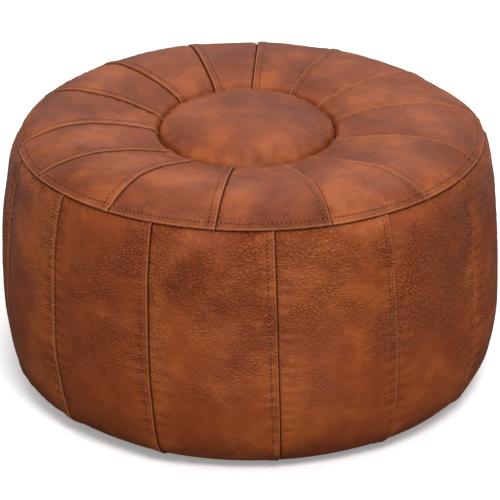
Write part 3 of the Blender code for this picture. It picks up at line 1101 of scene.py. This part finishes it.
def build_stop(node, material):
    """A crimped metal stop, with two grooves where the tool pressed it."""
    low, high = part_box(node)
    centre = 0.5 * (low + high)
    half = 0.5 * (high - low)
    steps = []
    for share in np.linspace(-1.0, 1.0, 25):
        groove = 0.00022 * (near(share, -0.35, 0.12) + near(share, 0.35, 0.12))
        end = 0.0004 * max(0.0, (abs(share) - 0.8) / 0.2) ** 2
        steps.append((groove + end, share * half.y))
    solid = Solid()
    solid.plate(oval(half.z, half.x, 3.4), steps, centre, "Y")
    belongs(solid.build(node + "_crimp", material), "cover", node)


def pin_centre():
    """Centre of the slider's pin, which its lugs hold just above the slider's lowest point."""
    low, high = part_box("zip_slider")
    return Vector((0.5 * (low.x + high.x), 0.0, low.z + LUG_DROP))


def build_slider(material):
    """The zip's slider: two tapered plates with side flanges, a neck, and lugs round a riveted pin."""
    pin = pin_centre()
    solid = Solid()
    outline = oval(0.5 * PLATE_SIZE[0], 0.5 * PLATE_SIZE[1], 4.5, 56, 0.16)
    plate = rounded(-0.5 * PLATE_SIZE[2], 0.5 * PLATE_SIZE[2], 0.00032)
    for height in (LOWER_PLATE_UP, UPPER_PLATE_UP):
        solid.plate(outline, plate, pin + Vector((0.0, 0.0, height)))
    neck = pin + Vector((NECK_X, 0.0, 0.0))
    solid.plate(oval(0.00125, 0.00035, 2.0, 24), ((0.0, LOWER_PLATE_UP), (0.0, UPPER_PLATE_UP)), neck)
    for side in (-1.0, 1.0):
        beside = pin + Vector((0.0, side * FLANGE_Y, LOWER_PLATE_UP))
        solid.plate(oval(0.0046, 0.00032, 4.0, 32), rounded(0.0, 0.0024, 0.0002), beside)
        lug = pin + Vector((0.0, side * LUG_Y, 0.00075))
        solid.plate(oval(0.00185, 0.0014, 2.6, 32), rounded(-0.0004, 0.0004, 0.00015), lug, "Y")
    head = ((0.00030, -0.00262), (0.0, -0.00255), (-0.00030, -0.00245), (-0.00034, -0.00233))
    steps = [*head, (0.0, -0.00232)]
    steps += [(amount, -along) for amount, along in steps[::-1]]
    solid.plate(oval(PIN_RADIUS, PIN_RADIUS, 2.0, 24), steps, pin, "Y")
    belongs(solid.build("zip_slider_body", material), "zip_slider", "zip_slider")


def build_pull(material):
    """A pull tab with a raised border, on an eye round the slider's pin."""
    pin = pin_centre()
    solid = Solid()
    turns = np.linspace(0.0, 2.0 * math.pi, 41)[:-1]
    section = oval(0.00046, 0.0012, 3.0, 20)
    rings = []
    for turn in turns:
        way = np.array((math.cos(turn), 0.0, math.sin(turn)))
        rings.append(way * (EYE_MIDDLE + section[:, :1]) + np.array((0.0, 1.0, 0.0)) * section[:, 1:])
    solid.band(np.array(rings) + np.array(pin))
    half = 0.5 * PULL_THICKNESS
    stem = pin + Vector((-0.0030, 0.0, 0.0))
    solid.plate(oval(0.0017, 0.0012, 3.0, 32), rounded(-half, half, 0.0003), stem)
    face = [(0.0011, half), (0.0015, half - 0.00025), (0.0020, half - 0.00032)]
    steps = [(amount, -along) for amount, along in face[::-1]] + rounded(-half, half, 0.00035) + face
    tab = pin + Vector((-0.0035 - 0.5 * PULL_LENGTH, 0.0, 0.0))
    solid.plate(oval(0.5 * PULL_LENGTH, 0.5 * PULL_WIDTH, 5.0, 72), steps, tab)
    belongs(solid.build("zip_pull_tab", material), "zip_pull", "zip_pull")


# ---------------------------------------------------------------- liner and stuffing


def inner_line(inset):
    """Profile this far inside the leather, from the middle of the top down to the side's foot."""
    disc = [(radius, disc_height(radius)) for radius in np.linspace(0.0, DISC_SEAM[0], 10)]
    top = [(radius, top_height(radius)) for radius in (0.105, 0.13, 0.16, 0.19, 0.225, 0.246)]
    side = [point for point in SIDE_LINE if LINER_FOOT < point[1] < LINER_SHOULDER]
    line = even_points(np.array(disc + top + side), 0.004)
    for _ in range(14):
        line[1:-1] = 0.25 * (line[:-2] + 2.0 * line[1:-1] + line[2:])
    return even_points(line - inset * outward(line), 0.004)


def turned_grid(line, columns):
    """The profile turned all the way round, as rings that follow the settled pouf."""
    angles = np.linspace(0.0, 2.0 * math.pi, columns + 1)[:-1]
    radius, angle = np.broadcast_arrays(line[:, :1], angles[None, :])
    on_top = smooth_step(LINER_SHOULDER - 0.04, LINER_SHOULDER, line[:, 1:])
    grid = place(radius, line[:, 1:], angle, on_top)
    down = np.broadcast_to(lengths_along(line)[:, None], angle.shape)
    round_from_back = np.abs(angle - math.pi) * TURNED_PLACE_RADIUS
    return grid, np.stack([round_from_back, down, np.zeros_like(angle)], axis=-1)


def build_liner(material, threads):
    """Cotton bag round the stuffing, sewn from eight panels and hemmed round its open mouth."""
    low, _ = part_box("inner_liner")
    line = inner_line(LINER_INSET)
    line[0, 0] = 0.004
    foot = [(0.244, low.z + 0.010), (0.232, low.z + 0.0022), (0.220, low.z + 0.0012)]
    floor = [(radius, low.z + 0.0012) for radius in np.linspace(0.210, LINER_MOUTH, 36)]
    line = np.vstack([line, foot, floor])
    grid, places = turned_grid(line, LINER_COLUMNS)
    angle = np.arange(LINER_COLUMNS) * 2.0 * math.pi / LINER_COLUMNS
    panel = angle * LINER_PANELS / (2.0 * math.pi)
    to_seam = np.abs(panel - np.round(panel)) * 2.0 * math.pi / LINER_PANELS * line[:, :1]
    creases = 0.0009 * lattice_noise(places * (1.0, 0.5, 1.0), 0.022, 50)
    creases = creases + 0.0004 * lattice_noise(places, 0.009, 51)
    dent = 0.0013 + creases + 0.0010 * near(to_seam, 0.0, 0.0016)
    to_mouth = line[:, :1] - LINER_MOUTH
    dent *= smooth_step(0.001, 0.012, to_mouth)
    grid = grid - ring_normals(grid) * dent[..., None]
    faces = ring_faces(*grid.shape[:2])
    obj = mesh_object("inner_liner_cloth", grid.reshape(-1, 3), faces, material)
    add_place(obj, places)
    add_value(obj, "seam", np.exp(-to_seam / 0.0012))
    add_skin(obj, 0.0008)
    belongs(obj, "cover", "inner_liner")
    hem = np.argmin(np.abs(line[:, 0] - LINER_MOUTH - 0.008) + (line[:, 1] > low.z + 0.005))
    ring = np.vstack([grid[hem], grid[hem, :1]]) - (0.0, 0.0, 0.0001)
    stitch_row("inner_liner_hem_stitches", [looking_down(ring)], LINER_STITCH_PITCH, threads)


def build_stuffing(material):
    """Packed fibre filling, lumpy all over, closed underneath."""
    low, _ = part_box("stuffing")
    line = inner_line(STUFFING_INSET)
    line[0, 0] = 0.004
    under = [(radius, low.z + 0.002) for radius in np.linspace(0.225, 0.004, 56)]
    line = np.vstack([line, [(0.238, low.z + 0.009)], under])
    grid, places = turned_grid(line, STUFFING_COLUMNS)
    lumps = 0.0022 * lattice_noise(grid, 0.034, 60) + 0.0013 * lattice_noise(grid, 0.015, 61)
    lumps += 0.0007 * lattice_noise(grid, 0.0065, 62)
    grid = grid - ring_normals(grid) * (0.0034 + lumps)[..., None]
    faces = ring_faces(*grid.shape[:2])
    faces.append(np.arange(len(line) * STUFFING_COLUMNS)[-STUFFING_COLUMNS:][::-1].tolist())
    obj = mesh_object("stuffing_fibre", grid.reshape(-1, 3), faces, material)
    add_place(obj, places)
    belongs(obj, "cover", "stuffing")


# ---------------------------------------------------------------- materials


class Nodes:
    """Short ways to add and link shader nodes."""

    def __init__(self, owner):
        self.owner = owner
        owner.use_nodes = True
        self.tree = owner.node_tree
        kinds = ("BSDF_PRINCIPLED", "BACKGROUND")
        self.shader = next(node for node in self.tree.nodes if node.type in kinds)

    def feed(self, socket, value):
        """Links the value to the socket, or sets it there."""
        if isinstance(value, bpy.types.NodeSocket):
            self.tree.links.new(value, socket)
        else:
            socket.default_value = (*value, 1.0) if socket.type == "RGBA" else value

    def set(self, name, value):
        self.feed(self.shader.inputs[name], value)

    def node(self, kind, inputs, output=0, **settings):
        node = self.tree.nodes.new(kind)
        for key, value in settings.items():
            setattr(node, key, value)
        for key, value in inputs.items():
            self.feed(node.inputs[key], value)
        return node.outputs[output]

    def position(self):
        return self.node("ShaderNodeTexCoord", {}, "Object")

    def value(self, name):
        return self.node("ShaderNodeAttribute", {}, "Fac", attribute_name=name)

    def noise(self, scale, detail=3.0, rough=0.5, vector=None, distortion=0.0):
        inputs = {"Vector": vector or self.position(), "Scale": scale, "Detail": detail}
        inputs.update({"Roughness": rough, "Distortion": distortion})
        return self.node("ShaderNodeTexNoise", inputs, "Fac")

    def cells(self, scale, vector=None, feature="DISTANCE_TO_EDGE"):
        inputs = {"Vector": vector or self.position(), "Scale": scale}
        return self.node("ShaderNodeTexVoronoi", inputs, "Distance", feature=feature)

    def maths(self, operation, a, b=0.0, c=0.0, clamp=False):
        return self.node("ShaderNodeMath", {0: a, 1: b, 2: c}, operation=operation, use_clamp=clamp)

    def span(self, value, low, high, to_low=0.0, to_high=1.0):
        inputs = {"Value": value, "From Min": low, "From Max": high, "To Min": to_low, "To Max": to_high}
        return self.node("ShaderNodeMapRange", inputs, interpolation_type="SMOOTHSTEP")

    def blend(self, factor, first, second, blend_type="MIX"):
        settings = {"data_type": "RGBA", "blend_type": blend_type}
        return self.node("ShaderNodeMix", {0: factor, 6: first, 7: second}, 2, **settings)

    def vector(self, name):
        return self.node("ShaderNodeAttribute", {}, "Vector", attribute_name=name)

    def warped(self, vector, amount, scale):
        """The vector pushed about by noise, so that patterns don't run straight."""
        push = self.node("ShaderNodeTexNoise", {"Vector": vector, "Scale": scale, "Detail": 2.0}, "Color")
        inputs = {0: push, 1: (amount, amount, amount), 2: vector}
        return self.node("ShaderNodeVectorMath", inputs, operation="MULTIPLY_ADD")

    def stretched(self, vector, degrees, scale):
        """The vector turned in its own plane and scaled, for patterns that run one way."""
        turn = (0.0, 0.0, math.radians(degrees))
        inputs = {"Vector": vector, "Rotation": turn}
        turned = self.node("ShaderNodeVectorRotate", inputs, rotation_type="EULER_XYZ")
        return self.node("ShaderNodeVectorMath", {0: turned, 1: scale}, operation="MULTIPLY")

    def grey(self, value):
        return self.node("ShaderNodeCombineXYZ", {0: value, 1: value, 2: value})

    def blend_value(self, factor, first, second):
        inputs = {"Factor": factor, "A": first, "B": second}
        return self.node("ShaderNodeMix", inputs, data_type="FLOAT")

    def bump(self, height, distance, strength=1.0, normal=None):
        inputs = {"Height": height, "Distance": distance, "Strength": strength}
        if normal is not None:
            inputs["Normal"] = normal
        return self.node("ShaderNodeBump", inputs)


def leather(name, tones, rough, gloss, grain, spread):
    """Pull-up leather: clouded dye, folds lighter with wear and painted highlight, painted shade in the
    seams, pebbled grain and crossing wrinkles.
    """
    dark, middle, light, wear_and_highlight = tones
    n = Nodes(bpy.data.materials.new(name))
    hide = n.vector("hide")
    clouds = n.noise(CLOUDS, 3.0, 0.55, n.warped(hide, 0.04, 6.0))
    mottle = n.noise(MOTTLE, 3.0, 0.6, hide)
    specks = n.noise(SPECKS, 2.0, 0.6, hide)
    tone = n.maths("MULTIPLY_ADD", mottle, 0.28, n.maths("MULTIPLY", clouds, 0.72))
    colour = n.blend(n.span(tone, 0.38, 0.51), dark, middle)
    colour = n.blend(n.span(tone, 0.49, 0.62), colour, light)
    flow = n.warped(hide, 0.030, 13.0)
    wrinkles = (n.cells(1.0, n.stretched(flow, *way)) for way in WRINKLES)
    wrinkles = n.span(n.blend_value(n.span(clouds, 0.46, 0.54), *wrinkles), 0.0, 0.22)
    pebbles = n.span(n.cells(PEBBLES, n.warped(hide, 0.0016, 240.0)), 0.0, 0.28)
    patches = n.noise(GRAIN_PATCHES, 2.0, 0.5, n.warped(hide, 0.02, 9.0))
    patches = n.span(patches, 0.38, 0.60, 0.30, 1.0)
    height_up = n.node("ShaderNodeSeparateXYZ", {0: n.position()}, "Z")
    patches = n.maths("MULTIPLY", patches, n.span(height_up, *spread))
    # The colour follows the grain's height: darker in the creases, which is dye gathered there and
    # painted shade, and lighter on the raised pebbles, which is painted light.
    shade = n.maths("MULTIPLY_ADD", wrinkles, 200.0 * grain, 0.92 - 180.0 * grain)
    shade = n.maths("MULTIPLY_ADD", pebbles, 0.12, shade)
    colour = n.blend(patches, colour, n.blend(1.0, colour, n.grey(shade), "MULTIPLY"))
    # Lighter along the ridges: wear, and a painted highlight where the folds catch the light.
    colour = n.blend(n.maths("MULTIPLY", n.value("ridge"), 0.75), colour, wear_and_highlight)
    # Painted shade where the seam value is high: in the grooves, under the rim's lip and along the
    # stitches.
    shadow = tuple(0.22 * part for part in dark)
    colour = n.blend(n.maths("MULTIPLY", n.value("seam"), 0.9), colour, shadow)
    n.set("Base Color", colour)
    n.set("Roughness", n.span(mottle, 0.3, 0.7, rough - 0.06, rough + 0.08))
    n.set("Specular IOR Level", gloss)
    height = n.maths("MULTIPLY_ADD", pebbles, 0.40, wrinkles)
    height = n.maths("MULTIPLY_ADD", specks, 0.30, height)
    n.set("Normal", n.bump(n.maths("MULTIPLY", height, patches), grain))
    return n.owner


def matt(name, scale, dark, light, rough, gloss):
    """A matt material, mottled between two colours."""
    n = Nodes(bpy.data.materials.new(name))
    n.set("Base Color", n.blend(n.noise(scale, 2.0), dark, light))
    n.set("Roughness", rough)
    n.set("Specular IOR Level", gloss)
    return n.owner


def woven(name, warp, weft, pitch, seam_shade, fuzz):
    """Plain weave: threads over and under along both ways of the cloth, uneven in colour."""
    n = Nodes(bpy.data.materials.new(name))
    hide = n.warped(n.vector("hide"), 0.0006, 40.0)
    turn = 2.0 * math.pi / pitch
    ways = (n.node("ShaderNodeSeparateXYZ", {0: hide}, axis) for axis in ("X", "Y"))
    waves = [n.maths("SINE", n.maths("MULTIPLY", way, 0.5 * turn)) for way in ways]
    over = n.maths("MULTIPLY", *waves)
    strands = n.maths("MULTIPLY_ADD", over, 0.5, 0.5)
    slub = n.noise(320.0, 3.0, 0.6, n.vector("hide"))
    colour = n.blend(n.span(strands, 0.3, 0.7), weft, warp)
    colour = n.blend(n.span(slub, 0.55, 0.8, 0.0, 0.35), colour, tuple(0.6 * part for part in warp))
    if seam_shade:
        shadow = tuple(0.4 * part for part in warp)
        colour = n.blend(n.maths("MULTIPLY", n.value("seam"), seam_shade), colour, shadow)
    n.set("Base Color", colour)
    n.set("Roughness", n.span(slub, 0.3, 0.7, 0.80, 0.95))
    n.set("Specular IOR Level", 0.2)
    n.set("Sheen Weight", fuzz)
    height = n.maths("MULTIPLY_ADD", slub, 0.5, n.maths("ABSOLUTE", over))
    n.set("Normal", n.bump(height, 0.3 * pitch))
    return n.owner


def fibre(name):
    """Tangled filling: long strands in crossing directions with shadow between them."""
    n = Nodes(bpy.data.materials.new(name))
    place_at = n.position()
    first = n.noise(1.0, 4.0, 0.65, n.stretched(place_at, 25.0, (60.0, 620.0, 240.0)))
    second = n.noise(1.0, 4.0, 0.65, n.stretched(place_at, -65.0, (70.0, 560.0, 260.0)))
    tangle = n.maths("MAXIMUM", first, second)
    colour = n.blend(n.span(tangle, 0.45, 0.72), (0.330, 0.300, 0.240), (0.780, 0.750, 0.670))
    n.set("Base Color", colour)
    n.set("Roughness", n.span(tangle, 0.4, 0.7, 0.98, 0.88))
    n.set("Specular IOR Level", 0.1)
    n.set("Sheen Weight", 0.35)
    n.set("Normal", n.bump(tangle, 0.0030))
    return n.owner


def nylon(name):
    """Moulded zip coil: dyed plastic, with small patches of uneven wear."""
    n = Nodes(bpy.data.materials.new(name))
    wear = n.noise(800.0, 3.0, 0.6)
    n.set("Base Color", n.blend(n.span(wear, 0.4, 0.65), (0.075, 0.030, 0.014), (0.140, 0.060, 0.028)))
    n.set("Roughness", n.span(wear, 0.3, 0.7, 0.34, 0.50))
    n.set("Normal", n.bump(wear, 0.00008))
    return n.owner


def brass(name):
    """Antique brass: tarnished in the hollows, brushed and scratched where it is handled."""
    n = Nodes(bpy.data.materials.new(name))
    tarnish = n.noise(420.0, 4.0, 0.6, n.warped(n.position(), 0.001, 300.0))
    scratches = n.noise(1.0, 3.0, 0.6, n.stretched(n.position(), 12.0, (350.0, 5200.0, 2600.0)))
    colour = n.blend(n.span(tarnish, 0.38, 0.64), (0.150, 0.095, 0.045), (0.560, 0.390, 0.170))
    n.set("Base Color", colour)
    n.set("Metallic", 1.0)
    n.set("Roughness", n.maths("MULTIPLY_ADD", scratches, 0.22, n.span(tarnish, 0.35, 0.65, 0.42, 0.22)))
    n.set("Normal", n.bump(scratches, 0.00003))
    return n.owner


# ---------------------------------------------------------------- camera, light, floor


def build_camera():
    elevation = math.radians(CAMERA_ELEVATION)
    way = Vector((0.0, -math.cos(elevation), math.sin(elevation)))
    data = bpy.data.cameras.new("camera")
    data.sensor_width = CAMERA_SENSOR
    data.lens = CAMERA_LENS
    camera = bpy.data.objects.new("camera", data)
    camera.location = Vector(CAMERA_ROUND) + CAMERA_DISTANCE * way
    aim_at(camera, CAMERA_AIM)
    bpy.context.scene.collection.objects.link(camera)
    bpy.context.scene.camera = camera


def aim_at(obj, target):
    obj.rotation_euler = (Vector(target) - obj.location).to_track_quat("-Z", "Y").to_euler()


def area_light(name, location, size, power, only_shine):
    data = bpy.data.lights.new(name, "AREA")
    data.shape = "DISK"
    data.size = size
    data.energy = power
    light = bpy.data.objects.new(name, data)
    light.visible_camera = False
    light.visible_diffuse = not only_shine
    light.location = location
    aim_at(light, LIGHT_AIM)
    bpy.context.scene.collection.objects.link(light)


def build_world():
    """A soft tent, bright overhead, with a white wall behind that shines on the leather."""
    n = Nodes(bpy.data.worlds.new("studio"))
    direction = n.node("ShaderNodeTexCoord", {}, "Generated")
    up = n.node("ShaderNodeSeparateXYZ", {0: direction}, "Z")
    back = n.node("ShaderNodeSeparateXYZ", {0: direction}, "Y")
    limits = {"From Min": 0.05, "From Max": 0.95, "To Min": TENT_HORIZON, "To Max": TENT_TOP}
    tent = n.node("ShaderNodeMapRange", {"Value": up, **limits})
    limits = {"From Min": 0.2, "From Max": 0.8, "To Max": TENT_BACK}
    wall = n.node("ShaderNodeMapRange", {"Value": back, **limits})
    wall = n.maths("MULTIPLY", wall, n.span(up, 0.12, 0.42, 0.2, 1.0))
    shine = n.maths("MULTIPLY_ADD", tent, TENT_SHINE, wall)
    light = n.blend_value(n.node("ShaderNodeLightPath", {}, "Is Glossy Ray"), tent, shine)
    seen = n.node("ShaderNodeLightPath", {}, "Is Camera Ray")
    n.set("Strength", n.blend_value(seen, light, TENT_SEEN))
    n.set("Color", (1.0, 1.0, 1.0))
    bpy.context.scene.world = n.owner


def floor_white():
    """White to the camera, duller in the light it gives back, and dark in what the leather mirrors."""
    n = Nodes(bpy.data.materials.new("floor_white"))
    seen, mirrored = (
        n.node("ShaderNodeLightPath", {}, kind) for kind in ("Is Camera Ray", "Is Glossy Ray")
    )
    bounce = n.blend(n.noise(2.0, 2.0), *((level,) * 3 for level in FLOOR_BOUNCE))
    distance = n.node("ShaderNodeVectorMath", {0: n.position()}, "Value", operation="LENGTH")
    shine = n.blend(n.span(distance, *FLOOR_SHINE_REACH), *((level,) * 3 for level in FLOOR_SHINE))
    n.set("Base Color", n.blend(seen, n.blend(mirrored, bounce, shine), (FLOOR_SEEN,) * 3))
    n.set("Emission Color", (1.0, 1.0, 1.0))
    n.set("Emission Strength", n.maths("MULTIPLY", seen, FLOOR_GLOW))
    n.set("Roughness", 0.8)
    n.set("Specular IOR Level", 0.2)
    return n.owner


def build_studio():
    bpy.context.scene.view_settings.view_transform = "Standard"
    build_world()
    for light in LIGHTS:
        area_light(*light)
    signs = ((-1.0, -1.0), (1.0, -1.0), (1.0, 1.0), (-1.0, 1.0))
    corners = [(x * FLOOR_HALF, y * FLOOR_HALF, 0.0) for x, y in signs]
    floor = mesh_object("floor", corners, [(0, 1, 2, 3)], floor_white(), smooth=False)
    floor.location.z = -FLOOR_DROP


def build_underside(thread_materials):
    base = leather("leather_base", BASE_TONES, 0.62, 0.15, 0.0003, BASE_GRAIN)
    tape = woven("zip_tape", (0.120, 0.048, 0.022), (0.070, 0.027, 0.012), 0.0009, 0.0, 0.05)
    coil = nylon("zip_coil")
    metal = brass("zip_brass")
    for name, side in (("front", -1), ("back", 1)):
        build_base_half(f"base_{name}", side, base, thread_materials)
        build_tape(f"zip_tape_{name}", side, tape, thread_materials)
        build_coil(f"zip_coil_{name}", side, coil)
    build_stop("zip_bottom_stop", metal)
    build_stop("zip_top_stop", metal)
    build_slider(metal)
    build_pull(metal)


def build_inside(thread_materials):
    cotton = woven("liner_cotton", (0.660, 0.610, 0.500), (0.560, 0.510, 0.410), 0.0014, 0.5, 0.2)
    build_liner(cotton, thread_materials)
    build_stuffing(fibre("stuffing_fibre"))


def main():
    build_camera()
    build_studio()
    top = leather("leather_top", TOP_TONES, 0.37, 0.19, 0.0006, TOP_GRAIN)
    side = leather("leather_side", SIDE_TONES, 0.35, 0.21, 0.0011, SIDE_GRAIN)
    # The second material is the painted shade of the needle holes.
    threads = (matt("stitch_thread", *THREAD_LOOK), matt("needle_hole_shade", *NEEDLE_SHADE_LOOK))
    disc = Disc()
    wedges = wedge_panels()
    gores = gore_panels()
    swell([disc, *wedges, *gores])
    disc.finish(top)
    for panel in wedges:
        finish_wedge(panel, top)
    for panel in gores:
        finish_gore(panel, side)
    build_stitches(wedges, gores, threads)
    build_underside(threads)
    build_inside(threads)


main()
